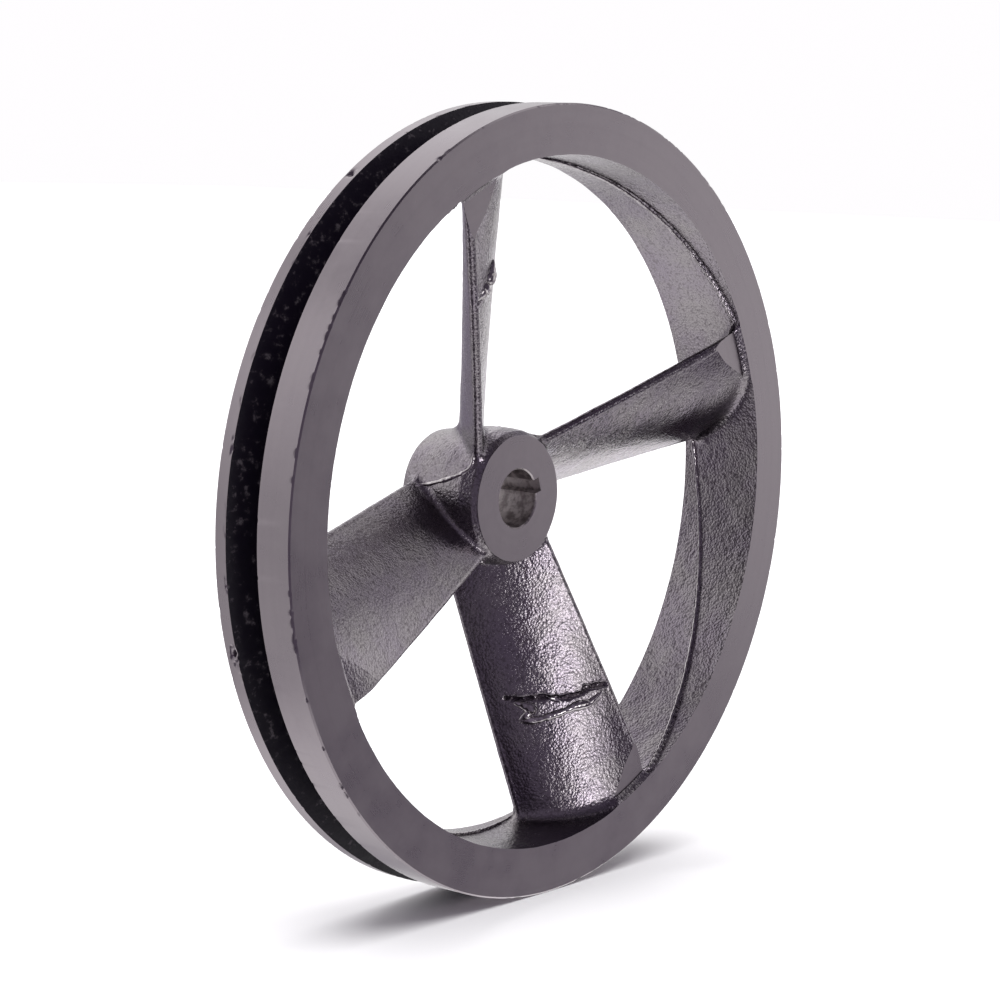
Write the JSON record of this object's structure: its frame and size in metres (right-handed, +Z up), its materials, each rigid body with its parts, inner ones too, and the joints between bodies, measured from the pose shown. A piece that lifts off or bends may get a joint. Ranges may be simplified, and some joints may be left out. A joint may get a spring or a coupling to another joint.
{
  "type": "v belt pulley",
  "caption": "Single-groove V belt pulley in cast iron with fan-blade arms, a keyed hub bore and a machined rim.",
  "frame": {"origin": "on the bore's axis, in the middle plane of the belt groove", "axes": "+Y along the bore, from the front face to the rear of the hub; +Z up; one blade leaves the hub 19 degrees above +X"},
  "size_m": [0.254, 0.0522, 0.254],
  "materials": {
    "machined_iron": "turned, satin, lightly oiled",
    "as_cast_iron": "glossy dark paint over a sand-cast skin"
  },
  "bodies": {
    "root": {"front_flange": "machined_iron", "groove_floor_ring": "machined_iron", "rear_flange": "machined_iron", "hub_barrel": "as_cast_iron", "fan_blade_1": "as_cast_iron", "fan_blade_2": "as_cast_iron", "fan_blade_3": "as_cast_iron", "fan_blade_4": "as_cast_iron", "rim_parting_ridge_1": "as_cast_iron", "hub_parting_ridge_1": "as_cast_iron", "rim_parting_ridge_2": "as_cast_iron", "hub_parting_ridge_2": "as_cast_iron", "rim_parting_ridge_3": "as_cast_iron", "hub_parting_ridge_3": "as_cast_iron", "rim_parting_ridge_4": "as_cast_iron", "hub_parting_ridge_4": "as_cast_iron", "casting_scar_across": "as_cast_iron", "casting_scar_edge": "as_cast_iron"}
  },
  "joints": []
}
